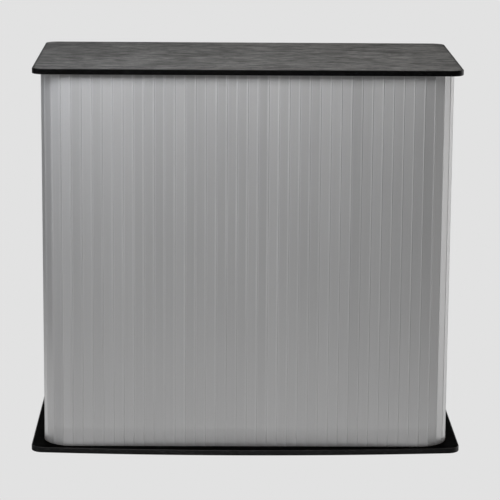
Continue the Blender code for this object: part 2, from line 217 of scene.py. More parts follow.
def ash_laminate(name, dark, light, shine, gloss, rim=None, painted_shade_outside=None):
    """Black ash grain, its figure along X: wandering growth rings, short dark flecks, fine pores.
    rim is (half width, half depth, middle in Y, corner radius) of a board whose border is darkened: a painted shade
    along its edge.
    The last argument is such an outline and a gain: within it the board's tone is raised by the gain, and outside it
    the board stays near black as painted shade."""
    s = Shader(name)
    warp = s.noise(s.scaled((1.6, 4.0, 4.0), (4.0, 2.0, 0.0)), detail=3.0, rough=0.45)
    shift = s.new("ShaderNodeCombineXYZ")
    s.put(shift.inputs[1], s.math("MULTIPLY_ADD", warp, 0.110, -0.055))
    moved = s.new("ShaderNodeVectorMath")
    moved.operation = "ADD"
    s.put(moved.inputs[0], s.coord)
    s.put(moved.inputs[1], shift.outputs[0])
    at = moved.outputs[0]
    rings = s.noise(s.scaled((3.2, 62.0, 62.0), (1.3, 0.4, 0.0), at), detail=4.0, rough=0.55)
    flecks = s.noise(s.scaled((21.0, 44.0, 44.0), (5.0, 3.0, 0.0), at), detail=5.0, rough=0.62, distortion=0.7)
    dashes = s.span(s.noise(s.scaled((20.0, 74.0, 74.0), (9.0, 6.0, 0.0), at), detail=2.0, distortion=0.3), 0.54, 0.66)
    cloud = s.noise(s.scaled((5.0, 11.0, 11.0), (2.0, 8.0, 0.0)), detail=2.0)
    grain = s.noise(s.scaled((26.0, 330.0, 330.0), (0.0, 7.0, 0.0), at), detail=3.0, rough=0.6)
    pores = s.noise(s.scaled((48.0, 900.0, 900.0), (2.0, 0.0, 0.0), at), detail=1.0)
    pore = s.span(pores, 0.54, 0.68)
    value = s.math("MULTIPLY_ADD", s.math("SUBTRACT", rings, 0.5), 0.65, 0.5)
    value = s.math("MULTIPLY_ADD", s.math("SUBTRACT", flecks, 0.5), 1.9, value)
    value = s.math("MULTIPLY_ADD", s.math("SUBTRACT", cloud, 0.5), 0.4, value)
    value = s.math("MULTIPLY_ADD", s.math("SUBTRACT", grain, 0.5), 1.3, value, clamp=True)
    colour = s.ramp(value, [(0.12, dark), (0.5, tuple((a + b) / 2.2 for a, b in zip(dark, light))), (0.9, light)])
    colour = s.mix(s.math("MULTIPLY", dashes, 0.55), colour, tuple(1.3 * c for c in dark))
    colour = s.mix(s.math("MULTIPLY", pore, 0.60), colour, tuple(0.35 * c for c in dark))
    rough = s.math("MULTIPLY_ADD", s.math("SUBTRACT", value, 0.5), -0.10, gloss)
    rough = s.math("MULTIPLY_ADD", pore, 0.10, rough)

    def beyond(half_x, half_y, middle, radius):
        """How far a point lies outside a rounded rectangle."""
        past_x = s.math("MAXIMUM", s.math("SUBTRACT", s.math("ABSOLUTE", s.axis("X")), half_x - radius), 0.0)
        past_y = s.math("MAXIMUM", s.math("SUBTRACT", s.math("ABSOLUTE", s.math("SUBTRACT", s.axis("Y"), middle)), half_y - radius), 0.0)
        reach = s.math("SQRT", s.math("ADD", s.math("MULTIPLY", past_x, past_x), s.math("MULTIPLY", past_y, past_y)))
        return s.math("SUBTRACT", reach, radius)

    # painted shade: a dark line along the board's border
    if rim is not None:
        colour = s.mix(s.span(beyond(*rim), -0.0070, -0.0035, 0.0, 0.80), colour, tuple(0.5 * c for c in dark))
    # painted shade: outside the outline the board keeps the near black tone it is given; within it that tone is raised
    # by the gain
    if painted_shade_outside is not None:
        lift = s.new("ShaderNodeVectorMath")
        lift.operation = "SCALE"
        s.put(lift.inputs[0], colour)
        s.put(lift.inputs["Scale"], s.span(beyond(*painted_shade_outside[:4]), -0.003, 0.0, painted_shade_outside[4], 1.0))
        colour = lift.outputs[0]
    s.set(Base_Color=colour, Roughness=rough, Specular_IOR_Level=shine)
    relief = s.math("MULTIPLY_ADD", pore, -0.7, grain)
    s.set(Normal=s.bump(relief, 0.35, 0.00025))
    return s.mat


def raw_fibreboard():
    s = Shader("raw_fibreboard")
    fibre = s.noise(s.scaled((700.0, 700.0, 700.0)), detail=4.0, rough=0.7)
    cloud = s.noise(s.scaled((40.0, 40.0, 40.0)), detail=2.0)
    colour = s.ramp(fibre, [(0.25, (0.10, 0.062, 0.036)), (0.75, (0.24, 0.155, 0.095))])
    colour = s.mix(s.math("MULTIPLY", cloud, 0.4), colour, (0.13, 0.085, 0.052))
    s.set(Base_Color=colour, Roughness=0.92, Specular_IOR_Level=0.2)
    s.set(Normal=s.bump(fibre, 0.4, 0.0004))
    return s.mat


def black_edging(name, tone, shine, gloss):
    s = Shader(name)
    fine = s.noise(s.scaled((900.0, 900.0, 900.0)), detail=2.0)
    cloud = s.noise(s.scaled((14.0, 14.0, 60.0)), detail=3.0)
    scuffs = s.noise(s.scaled((90.0, 90.0, 420.0), (1.0, 4.0, 2.0)), detail=3.0, rough=0.65)
    colour = s.ramp(cloud, [(0.3, (0.7 * tone,) * 3), (0.7, (1.3 * tone,) * 3)])
    worn = s.math("MULTIPLY", s.attribute("wear"), s.span(scuffs, 0.52, 0.68))
    colour = s.mix(s.math("MULTIPLY", worn, 0.55), colour, (9.0 * tone,) * 3)
    rough = s.math("MULTIPLY_ADD", cloud, 0.16, gloss - 0.08)
    rough = s.math("MULTIPLY_ADD", worn, 0.25, rough)
    s.set(Base_Color=colour, Roughness=rough, Specular_IOR_Level=shine)
    s.set(Normal=s.bump(fine, 0.06, 0.0003))
    return s.mat


def satin_tube():
    s = Shader("satin_tube")
    drawn = s.noise(s.scaled((1300.0, 1300.0, 2.0), (0.5, 0.2, 0.0)), detail=2.0)
    cloud = s.noise(s.scaled((30.0, 30.0, 9.0)), detail=3.0)
    value = s.math("MULTIPLY_ADD", s.math("SUBTRACT", drawn, 0.5), 0.7, cloud, clamp=True)
    s.set(Base_Color=s.ramp(value, [(0.2, (0.50, 0.505, 0.515)), (0.8, (0.66, 0.665, 0.67))]))
    s.set(Metallic=1.0, Roughness=s.math("MULTIPLY_ADD", drawn, 0.14, 0.24))
    s.set(Normal=s.bump(drawn, 0.10, 0.0003))
    return s.mat


def zinc_plate():
    s = Shader("zinc_plate")
    crystal = s.cells(s.scaled((520.0, 520.0, 520.0)))
    cloud = s.noise(s.scaled((120.0, 120.0, 120.0)), detail=3.0)
    value = s.math("MULTIPLY_ADD", s.math("SUBTRACT", crystal, 0.4), 0.5, cloud, clamp=True)
    s.set(Base_Color=s.ramp(value, [(0.2, (0.46, 0.47, 0.49)), (0.8, (0.66, 0.66, 0.65))]))
    s.set(Metallic=1.0, Roughness=s.math("MULTIPLY_ADD", cloud, 0.22, 0.20))
    s.set(Normal=s.bump(crystal, 0.12, 0.0003))
    return s.mat


def black_nylon():
    s = Shader("black_nylon")
    skin = s.noise(s.scaled((1100.0, 1100.0, 1100.0)), detail=3.0)
    cloud = s.noise(s.scaled((90.0, 90.0, 90.0)), detail=2.0)
    s.set(Base_Color=s.ramp(cloud, [(0.3, (0.014, 0.014, 0.015)), (0.7, (0.026, 0.026, 0.027))]))
    s.set(Roughness=s.math("MULTIPLY_ADD", skin, 0.2, 0.42), Specular_IOR_Level=0.4)
    s.set(Normal=s.bump(skin, 0.25, 0.0003))
    return s.mat


SLAT = anodised_slat()
# the top's black ash is given a lighter grey than the shelf's: painted sheen on the laminate's own tone
TOP_LAMINATE = ash_laminate("top_laminate_painted_sheen", (0.0305, 0.0301, 0.0292), (0.1715, 0.1700, 0.1660), 0.08, 0.50,
                            (TOP_W / 2.0, (Y_BACK - Y_TOP_FRONT) / 2.0, (Y_BACK + Y_TOP_FRONT) / 2.0, BOARD_R))
# within the wrap, and out to the open back: there the base board keeps its own tone, and the strip outside it, in front
# of and beside the wrap, is left near black as painted shade
WITHIN = (HINGE_X - GROOVE_IN, (Y_BACK + 0.1 - HINGE_Y - GROOVE_IN) / 2.0, (Y_BACK + 0.1 + HINGE_Y + GROOVE_IN) / 2.0, HINGE_R - GROOVE_IN)
BASE_LAMINATE = ash_laminate("base_laminate", (0.0004, 0.0004, 0.0004), (0.0025, 0.00245, 0.0024), 0.001, 0.60, painted_shade_outside=(*WITHIN, 22.0))
SHELF_LAMINATE = ash_laminate("shelf_laminate", (0.008, 0.0079, 0.0077), (0.060, 0.059, 0.057), 0.20, 0.52)
CORE = raw_fibreboard()
# one black edging in two tones: the base band, also used on the shelf, is lighter as painted light, the top band darker
TOP_EDGING = black_edging("top_edging_black", 0.0007, 0.10, 0.30)
LOW_EDGING = black_edging("base_edging_black", 0.0042, 0.16, 0.42)
TUBE = satin_tube()
ZINC = zinc_plate()
NYLON = black_nylon()


# ---------------------------------------------------------------- mesh helpers
def arc(cx, cy, r, a0, a1, steps):
    out = []
    for i in range(steps + 1):
        a = math.radians(a0 + (a1 - a0) * i / steps)
        out.append((cx + r * math.cos(a), cy + r * math.sin(a)))
    return out


def filleted(corners, steps=24):
    """Outline points from (x, y, radius) corners, each radius turned into an arc."""
    out = []
    count = len(corners)
    for i, (x, y, radius) in enumerate(corners):
        here = Vector((x, y))
        if radius <= 0.0:
            out.append((x, y))
            continue
        to_prev = (Vector(corners[i - 1][:2]) - here).normalized()
        to_next = (Vector(corners[(i + 1) % count][:2]) - here).normalized()
        half = to_prev.angle(to_next) / 2.0
        centre = here + (to_prev + to_next).normalized() * (radius / math.sin(half))
        first = here + to_prev * (radius / math.tan(half)) - centre
        last = here + to_next * (radius / math.tan(half)) - centre
        a0 = math.atan2(first.y, first.x)
        turn = math.atan2(last.y, last.x) - a0
        turn = (turn + math.pi) % (2.0 * math.pi) - math.pi
        for s in range(steps + 1):
            a = a0 + turn * s / steps
            out.append((centre.x + radius * math.cos(a), centre.y + radius * math.sin(a)))
    return out


def ring_of(bm, points, z):
    return [bm.verts.new((x, y, z)) for x, y in points]


def wall(bm, low, high, slot=0):
    made = []
    for i in range(len(low)):
        j = (i + 1) % len(low)
        face = bm.faces.new((low[i], low[j], high[j], high[i]))
        face.material_index = slot
        made.append(face)
    return made


def fill(bm, loops, slot=0):
    """A flat face over the first loop, with the other loops as holes in it."""
    edges = []
    for loop in loops:
        for i in range(len(loop)):
            pair = (loop[i], loop[(i + 1) % len(loop)])
            edges.append(bm.edges.get(pair) or bm.edges.new(pair))
    made = bmesh.ops.triangle_fill(bm, use_beauty=True, use_dissolve=False, edges=edges)
    for item in made["geom"]:
        if isinstance(item, bmesh.types.BMFace):
            item.material_index = slot


def finish_piece(bm, name, materials, sharp=32.0):
    """Mesh and object. Wide flats keep their own normals beside narrow rounded facets."""
    bmesh.ops.recalc_face_normals(bm, faces=bm.faces[:])
    width = {}
    for face in bm.faces:
        face.smooth = True
        longest = max(e.calc_length() for e in face.edges)
        width[face] = face.calc_area() / max(longest, 1e-9)
    limit = math.radians(sharp)
    for edge in bm.edges:
        if len(edge.link_faces) != 2:
            continue
        a, b = edge.link_faces
        wide, narrow = max(width[a], width[b]), max(min(width[a], width[b]), 1e-9)
        if edge.calc_face_angle(0.0) > limit or wide / narrow > 4.0:
            edge.smooth = False
    mesh = bpy.data.meshes.new(name)
    bm.to_mesh(mesh)
    bm.free()
    for mat in materials:
        mesh.materials.append(mat)
    obj = bpy.data.objects.new(name, mesh)
    bpy.context.scene.collection.objects.link(obj)
    return obj


def stands_for(obj, body, slot, *nodes):
    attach(obj, body)
    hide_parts(*nodes)
    return obj


def turned(bm, profile, at, sides=48, closed=False, slot=0):
    """A turned shape from (radius, z) points. With closed the profile runs round a bore."""
    loops = []
    for r, z in profile:
        if r == 0.0:
            loops.append([bm.verts.new((at[0], at[1], at[2] + z))])
        else:
            loops.append([
                bm.verts.new((
                    at[0] + r * math.cos(2.0 * math.pi * i / sides),
                    at[1] + r * math.sin(2.0 * math.pi * i / sides), at[2] + z))
                for i in range(sides)
            ])
    pairs = list(zip(loops, loops[1:]))
    if closed:
        pairs.append((loops[-1], loops[0]))
    for a, b in pairs:
        for i in range(sides):
            j = (i + 1) % sides
            if len(a) == 1:
                face = bm.faces.new((a[0], b[j], b[i]))
            elif len(b) == 1:
                face = bm.faces.new((a[i], a[j], b[0]))
            else:
                face = bm.faces.new((a[i], a[j], b[j], b[i]))
            face.material_index = slot


# ---------------------------------------------------------------- boards
def top_outline(inset, steps=24):
    x = TOP_W / 2.0 - inset
    y0, y1 = Y_TOP_FRONT + inset, Y_BACK - inset
    r = BOARD_R - inset
    return filleted([(-x, y1, r), (-x, y0, r), (x, y0, r), (x, y1, r)], steps)


def base_outline(inset, steps=24, bow_steps=72):
    x = BASE_W / 2.0 - inset
    y0, y1 = Y_BASE_FRONT + inset, Y_BACK - inset
    r = BOARD_R - inset
    corners = [(-x, y1, r), (-x, y0, r)]
    for i in range(3, bow_steps - 2):
        t = 2.0 * i / bow_steps - 1.0
        corners.append((x * t, y0 - BASE_BOW * (1.0 - t * t), 0.0))
    corners += [(x, y0, r), (x, y1, r)]
    return filleted(corners, steps)


def wall_of_path(offset, y_end, steps=24):
    r = HINGE_R + offset
    right = []
    for i in range(steps + 1):
        a = math.radians(90.0 * i / steps)
        right.append((CORNER_X + r * math.sin(a), CORNER_Y - r * math.cos(a)))
    right.append((HINGE_X + offset, y_end))
    return [(-x, y) for x, y in reversed(right)] + right


def groove_outline():
    return wall_of_path(GROOVE_OUT, GROOVE_END) + wall_of_path(-GROOVE_IN, GROOVE_END)[::-1]


def circle(at, r, sides=40):
    return [(at[0] + r * math.cos(2.0 * math.pi * i / sides), at[1] + r * math.sin(2.0 * math.pi * i / sides)) for i in range(sides)]


def board(name, outline, z0, z1, laminate, up=(), down=(), through=()):
    """A laminated board. up and down are pockets of (outline, depth) in its two faces, through are holes of
    (centre, ((radius, z), ...)) from the lower face to the upper one. Cuts show the raw core."""
    bm = bmesh.new()
    low, high = ring_of(bm, outline, z0), ring_of(bm, outline, z1)
    wall(bm, low, high, 1)
    lower, upper = [low], [high]
    for pocket, depth in up:
        rim, floor = ring_of(bm, pocket, z1), ring_of(bm, pocket, z1 - depth)
        wall(bm, floor, rim, 1)
        fill(bm, [floor], 1)
        upper.append(rim)
    for pocket, depth in down:
        rim, floor = ring_of(bm, pocket, z0), ring_of(bm, pocket, z0 + depth)
        wall(bm, rim, floor, 1)
        fill(bm, [floor], 1)
        lower.append(rim)
    for at, rings in through:
        loops = [ring_of(bm, circle(at, r), z) for r, z in rings]
        for a, b in zip(loops, loops[1:]):
            wall(bm, a, b, 1)
        lower.append(loops[0])
        upper.append(loops[-1])
    fill(bm, lower, 0)
    fill(bm, upper, 0)
    return finish_piece(bm, name, [laminate, CORE])


def band(name, outline_at, z0, mat, steps=6):
    """Edge band with rounded arrises, as one closed ring round an outline."""
    section = [(EDGE_T - SEAM, 0.0, 0.0)]
    for s in range(steps + 1):
        a = math.radians(90.0 * s / steps)
        section.append((EDGE_R - EDGE_R * math.sin(a), EDGE_R - EDGE_R * math.cos(a), 1.0))
    for s in range(steps + 1):
        a = math.radians(90.0 * s / steps)
        section.append((EDGE_R - EDGE_R * math.cos(a), BOARD_T - EDGE_R + EDGE_R * math.sin(a), 1.0))
    section.append((EDGE_T - SEAM, BOARD_T, 0.0))
    bm = bmesh.new()
    wear = bm.verts.layers.float.new("wear")
    loops = []
    for inset, z, worn in section:
        loop = ring_of(bm, outline_at(inset), z0 + z)
        for v in loop:
            v[wear] = worn
        loops.append(loop)
    for a, b in zip(loops, loops[1:] + loops[:1]):
        wall(bm, a, b)
    return finish_piece(bm, name, [mat])


def shelf_outline():
    y1 = SHELF_Y_BACK - EDGE_T - SEAM
    return filleted([(-SHELF_X, y1, 0.0), (-SHELF_X, SHELF_Y_FRONT, SHELF_R), (SHELF_X, SHELF_Y_FRONT, SHELF_R), (SHELF_X, y1, 0.0)])


def straight_band(name, x, y_back, z0, mat, steps=6):
    """The band along the shelf's open edge, its outer arrises rounded."""
    section = [(EDGE_T, 0.0, 0.0)]
    for s in range(steps + 1):
        a = math.radians(90.0 * s / steps)
        section.append((EDGE_R - EDGE_R * math.sin(a), EDGE_R - EDGE_R * math.cos(a), 1.0))
    for s in range(steps + 1):
        a = math.radians(90.0 * s / steps)
        section.append((EDGE_R - EDGE_R * math.cos(a), BOARD_T - EDGE_R + EDGE_R * math.sin(a), 1.0))
    section.append((EDGE_T, BOARD_T, 0.0))
    bm = bmesh.new()
    wear = bm.verts.layers.float.new("wear")
    loops = []
    for at, draw in ((-x, 0.0004), (-x + 0.0004, 0.0), (x - 0.0004, 0.0), (x, 0.0004)):
        loop = []
        for inset, z, worn in section:
            d = min(inset + draw, EDGE_T)
            lift = draw if z < BOARD_T / 2.0 else -draw
            v = bm.verts.new((at, y_back - d, z0 + z + (lift if worn else 0.0)))
            v[wear] = worn
            loop.append(v)
        loops.append(loop)
    for a, b in zip(loops, loops[1:]):
        wall(bm, a, b)
    for loop in (loops[0], loops[-1]):
        bm.faces.new(loop)
    return finish_piece(bm, name, [mat])


countersunk = ((BOLT_HEAD_R + 0.0007, 0.0), (BOLT_HEAD_R + 0.0007, 0.0008), (CLEAR_HOLE_R, BOLT_HEAD_H + 0.0008), (CLEAR_HOLE_R, Z_BASE))
base_board = board(
    "base_board_laminated", base_outline(EDGE_T), 0.0, Z_BASE, BASE_LAMINATE,
    up=[(groove_outline(), GROOVE_DEPTH)], through=[(at, countersunk) for at in POSTS.values()])
stands_for(base_board, "stand", "laminate", "base_board")
top_board = board(
    "top_board_laminated", top_outline(EDGE_T), Z_TOP, HEIGHT, TOP_LAMINATE,
    down=[(groove_outline(), GROOVE_DEPTH)] + [(circle(at, SOCKET_R + 0.0001), SOCKET_H + 0.0004) for at in POSTS.values()])
stands_for(top_board, "top", "laminate", "top_board")
shelf_board = board(
    "shelf_board_laminated", shelf_outline(), SHELF_Z, SHELF_Z + BOARD_T, SHELF_LAMINATE,
    through=[(at, ((CLEAR_HOLE_R, SHELF_Z), (CLEAR_HOLE_R, SHELF_Z + BOARD_T))) for at in POSTS.values()])
stands_for(shelf_board, "stand", "laminate", "shelf_board")

stands_for(band("base_edging", base_outline, 0.0, LOW_EDGING), "stand", "edging", "base_edge_band")
stands_for(band("top_edging", top_outline, Z_TOP, TOP_EDGING), "top", "edging", "top_edge_band")
stands_for(straight_band("shelf_edging", SHELF_X, SHELF_Y_BACK, SHELF_Z, LOW_EDGING), "stand", "edging", "shelf_edge_band")


# ---------------------------------------------------------------- slats, in millimetres until they are laid
P = PITCH * 1000.0
BEAD = 2.6                           # hinge bead, centred on the hinge line
HOOK_IN, HOOK_OUT = 2.69, 3.65       # hollow end that takes the bead


def slat_outline(hook=True, bead=True, deeper_notch_shade=False):
    """(u, w, wear) points round one slat: u along the run from its first hinge, w outwards.
    Wear is 1 on rubbed arrises, where it also carries a painted highlight, and below 0 in the notches beside a bead,
    which marks painted shade there, far deeper on the side slats."""
    out = []
    # painted shade in the notches: deep on the side slats, faint on the others
    painted_notch_shade, brim = (-1.0, 2.25) if deeper_notch_shade else (-0.04, 2.0)
    if hook:
        out += [(u, w, 0.0 if w < 0.6 else painted_notch_shade) for u, w in arc(0.0, 0.0, HOOK_IN, -100.0, 39.0, 18)]
        out += [(u, w, 1.0) for u, w in arc(2.24, 1.97, 0.13, 170.0, 90.0, 4)]
    else:
        out += [(2.0, -3.6, 0.0), (2.0, 1.8, 0.0)]
        out += [(u, w, 1.0) for u, w in arc(2.2, 1.9, 0.2, 180.0, 90.0, 4)]
    out += [(2.55, 2.1, 0.52), (4.6, 2.1, 0.0), (P - 4.5, 2.1, 0.0), (P - 2.45, 2.1, 0.48)]
    out += [(u, w, 1.0) for u, w in arc(P - 2.13, 1.97, 0.13, 90.0, 0.0, 4)]
    if bead:
        start = 180.0 - math.degrees(math.asin(1.70 / BEAD))
        end = -180.0 + math.degrees(math.asin(0.9 / BEAD))
        # the crown of a bead is lighter, partly wear and partly painted highlight; its lower flanks take the painted
        # notch shade
        out += [(u, w, 0.38 if w > brim else painted_notch_shade if w > 0.6 else 0.0) for u, w in arc(P, 0.0, BEAD, start, end, 40)]
        out += [(P - 3.0, -0.9, 0.0)]
        out += [(u, w, 0.3) for u, w in arc(P - 3.3, -3.6, 0.3, 0.0, -90.0, 4)]
    else:
        out += [(u, w, 0.3) for u, w in arc(P - 2.3, -3.6, 0.3, 0.0, -90.0, 4)]
    if hook:
        out += [(3.5, -3.9, 0.0), (2.7, -3.76, 0.0)]
        out += [(u, w, 0.0) for u, w in arc(0.0, 0.0, HOOK_OUT, -76.0, -98.0, 5)]
        tip = math.radians(-102.0)
        out += [(3.2 * math.cos(tip), 3.2 * math.sin(tip), 0.0)]
    else:
        out += [(u, w, 0.3) for u, w in arc(2.3, -3.6, 0.3, -90.0, -175.0, 4)]
    return out


def chamber(u0, u1):
    return (arc(u0 + 0.5, -2.3, 0.5, 180.0, 270.0, 3) + arc(u1 - 0.5, -2.3, 0.5, 270.0, 360.0, 3)
            + arc(u1 - 0.5, 0.5, 0.5, 0.0, 90.0, 3) + arc(u0 + 0.5, 0.5, 0.5, 90.0, 180.0, 3))


def add_slat(bm, first, last, tone, hook=True, bead=True, deeper_notch_shade=False):
    """One extruded slat between two hinges, with two open chambers along it."""
    tones = bm.verts.layers.float["slat_tone"]
    wears = bm.verts.layers.float["wear"]
    painted_notch_shades = bm.verts.layers.float["painted_notch_shade"]
    along = (last - first).normalized()
    out = Vector((along.y, -along.x))

    def loop(points, z):
        made = []
        for p in points:
            at = first + along * (p[0] / 1000.0) + out * (p[1] / 1000.0)
            v = bm.verts.new((at.x, at.y, z))
            v[tones] = tone
            v[wears] = max(p[2], 0.0) if len(p) > 2 else 0.0
            v[painted_notch_shades] = max(-p[2], 0.0) if len(p) > 2 else 0.0
            made.append(v)
        return made

    lows, highs = [], []
    for points in (slat_outline(hook, bead, deeper_notch_shade), chamber(4.6, 12.2), chamber(13.2, P - 4.6)):
        low, high = loop(points, WRAP_Z0), loop(points, WRAP_Z1)
        wall(bm, low, high)
        lows.append(low)
        highs.append(high)
    fill(bm, lows)
    fill(bm, highs)


def slat_mesh():
    bm = bmesh.new()
    bm.verts.layers.float.new("slat_tone")
    bm.verts.layers.float.new("wear")
    bm.verts.layers.float.new("painted_notch_shade")
    return bm


def on_path(s):
    """Point of the right half of the hinge line, s metres from the middle of the front."""
    if s <= CORNER_X:
        return Vector((s, HINGE_Y))
    turn = HINGE_R * math.pi / 2.0
    if s <= CORNER_X + turn:
        a = (s - CORNER_X) / HINGE_R
        return Vector((CORNER_X + HINGE_R * math.sin(a), CORNER_Y - HINGE_R * math.cos(a)))
    return Vector((HINGE_X, CORNER_Y + s - CORNER_X - turn))


def right_hinges():
    s = FRONT_HINGES * PITCH
    points = [on_path(s)]
    for _ in range(CORNER_SLATS):
        low, high = s, s + 1.6 * PITCH
        for _ in range(60):
            mid = (low + high) / 2.0
            if (on_path(mid) - points[-1]).length < PITCH:
                low = mid
            else:
                high = mid
        s = high
        points.append(on_path(s))
    for i in range(1, SIDE_SLATS + 1):
        points.append(Vector((HINGE_X, points[CORNER_SLATS].y + i * PITCH)))
    return points


rng = random.Random(41)
right = right_hinges()
hinges = [Vector((-p.x, p.y)) for p in reversed(right)]
hinges += [Vector((i * PITCH, HINGE_Y)) for i in range(-FRONT_HINGES + 1, FRONT_HINGES)]
hinges += right
# a wrap that has been rolled up many times never stands perfectly straight
for i, p in enumerate(hinges):
    if 0 < i < len(hinges) - 1:
        if SIDE_SLATS + CORNER_SLATS <= i <= len(hinges) - 1 - SIDE_SLATS - CORNER_SLATS:
            p.y += rng.uniform(-0.00010, 0.00010)
        elif i < SIDE_SLATS or i > len(hinges) - 1 - SIDE_SLATS:
            p.x += rng.uniform(-0.00010, 0.00010)

count = len(hinges) - 1
runs = [("slats_left", ["slat_run_left"], 0, SIDE_SLATS)]
for k in range(CORNER_SLATS):
    runs.append((f"corner_slat_left_{CORNER_SLATS - k}", [f"slat_corner_left_{CORNER_SLATS - k}"], SIDE_SLATS + k, SIDE_SLATS + k + 1))
first_front = SIDE_SLATS + CORNER_SLATS
last_front = count - SIDE_SLATS - CORNER_SLATS
runs.append(("slats_front", ["slat_run_front"], first_front, last_front))
for k in range(CORNER_SLATS):
    runs.append((f"corner_slat_right_{k + 1}", [f"slat_corner_right_{k + 1}"], last_front + k, last_front + k + 1))
runs.append(("slats_right", ["slat_run_right"], count - SIDE_SLATS, count))
for name, nodes, start, stop in runs:
    bm = slat_mesh()
    for i in range(start, stop):
        add_slat(bm, hinges[i], hinges[i + 1], rng.uniform(-1.0, 1.0), i > 0, i < count - 1, stop - start == SIDE_SLATS)
    stands_for(finish_piece(bm, name, [SLAT], sharp=28.0), "stand", "slat", *nodes)

# profile that closes each rear end of the wrap: a small extruded channel with two drawn grooves in its outer side
END_Y = right[-1].y - SHOULDER + 0.0004


def end_profile(name, side, node):
    x0, x1 = HINGE_X - 0.0054, HINGE_X + 0.0025
    y0, y1 = END_Y, END_PROFILE_BACK
    points = [(x0, y0, 0.0006), (x1, y0, 0.0006)]
    for g in (0.0070, 0.0195):
        points += [(x1, y0 + g - 0.0005, 0.0), (x1 - 0.0006, y0 + g - 0.0002, 0.0), (x1 - 0.0006, y0 + g + 0.0002, 0.0), (x1, y0 + g + 0.0005, 0.0)]
    points += [(x1, y1, 0.0020), (x0, y1, 0.0020)]
    outline = filleted(points, 8)
    hollow = filleted([(x0 + 0.0014, y0 + 0.0014, 0.0004), (x1 - 0.0018, y0 + 0.0014, 0.0004), (x1 - 0.0018, y1 - 0.0014, 0.0008), (x0 + 0.0014, y1 - 0.0014, 0.0008)], 4)
    bm = slat_mesh()
    wear = bm.verts.layers.float["wear"]
    lows, highs = [], []
    for loop in (outline, hollow):
        loop = [(x * side, y) for x, y in loop]
        low, high = ring_of(bm, loop, WRAP_Z0), ring_of(bm, loop, WRAP_Z1)
        wall(bm, low, high)
        lows.append(low)
        highs.append(high)
    fill(bm, lows)
    fill(bm, highs)
    for v in bm.verts:
        v[wear] = 0.7 if v.co.y > y1 - 0.0022 else 0.0
    stands_for(finish_piece(bm, name, [SLAT], sharp=28.0), "stand", "slat", node)


end_profile("end_profile_right", 1.0, "wrap_end_right")
end_profile("end_profile_left", -1.0, "wrap_end_left")


# ---------------------------------------------------------------- posts and fasteners
def thread(z0, z1, r=THREAD_R, pitch=0.00125, depth=0.0006):
    """(radius, z) points of thread flanks from z0 up to z1."""
    out = []
    turns = int((z1 - z0) / pitch)
    for i in range(turns):
        z = z0 + i * pitch
        out += [(r - depth, z), (r, z + 0.42 * pitch), (r, z + 0.58 * pitch)]
    out.append((r - depth, z0 + turns * pitch))
    return out


def post(name, at, z0, z1, node):
    """A tube with a turned plug in each end; a fine seam shows where a plug's flange meets the tube."""
    length = z1 - z0
    inner, seam = POST_R - POST_WALL, 0.0040
    low = [(POST_R - 0.0008, 0.0), (POST_R - 0.0002, 0.0003), (POST_R, 0.0008), (POST_R, seam - 0.0003),
           (POST_R - 0.0004, seam), (POST_R, seam + 0.0003)]
    high = [(r, length - z) for r, z in reversed(low)]
    bore = [(THREAD_HOLE_R, length), (THREAD_HOLE_R, length - POST_PLUG), (inner, length - POST_PLUG),
            (inner, POST_PLUG), (THREAD_HOLE_R, POST_PLUG), (THREAD_HOLE_R, 0.0)]
    bm = bmesh.new()
    turned(bm, low + high + bore, (at[0], at[1], z0), sides=64, closed=True)
    stands_for(finish_piece(bm, name, [TUBE], sharp=40.0), "stand", "tube", node)


def socket_bolt(name, at, node):
    """Countersunk bolt seen from below: a head with a hexagon recess."""
    top = Z_BASE + BOLT_REACH
    bm = bmesh.new()
    sides = 48
    hexagon = []
    for i in range(sides):
        a = 2.0 * math.pi * i / sides
        folded = (a + math.pi / 6.0) % (math.pi / 3.0) - math.pi / 6.0
        r = 0.0025 / math.cos(folded)
        hexagon.append((at[0] + r * math.cos(a), at[1] + r * math.sin(a)))
    floor = ring_of(bm, hexagon, 0.0030)
    rim = ring_of(bm, hexagon, 0.0005)
    bm.faces.new(floor)
    wall(bm, floor, rim)
    profile = [(0.0036, 0.0004), (BOLT_HEAD_R - 0.0003, 0.0004), (BOLT_HEAD_R, 0.0007), (THREAD_R, BOLT_HEAD_H)]
    profile += thread(BOLT_HEAD_H + 0.0006, top - 0.0012) + [(THREAD_R - 0.0012, top)]
    before = rim
    for r, z in profile:
        ring = [bm.verts.new((at[0] + r * math.cos(2.0 * math.pi * i / sides), at[1] + r * math.sin(2.0 * math.pi * i / sides), z)) for i in range(sides)]
        wall(bm, before, ring)
        before = ring
    bm.faces.new(before)
    stands_for(finish_piece(bm, name, [ZINC], sharp=40.0), "stand", "fastener", node)


def turned_piece(name, profile, at, mat, body, slot, node, closed=False):
    bm = bmesh.new()
    turned(bm, profile, at, closed=closed)
    stands_for(finish_piece(bm, name, [mat], sharp=40.0), body, slot, node)


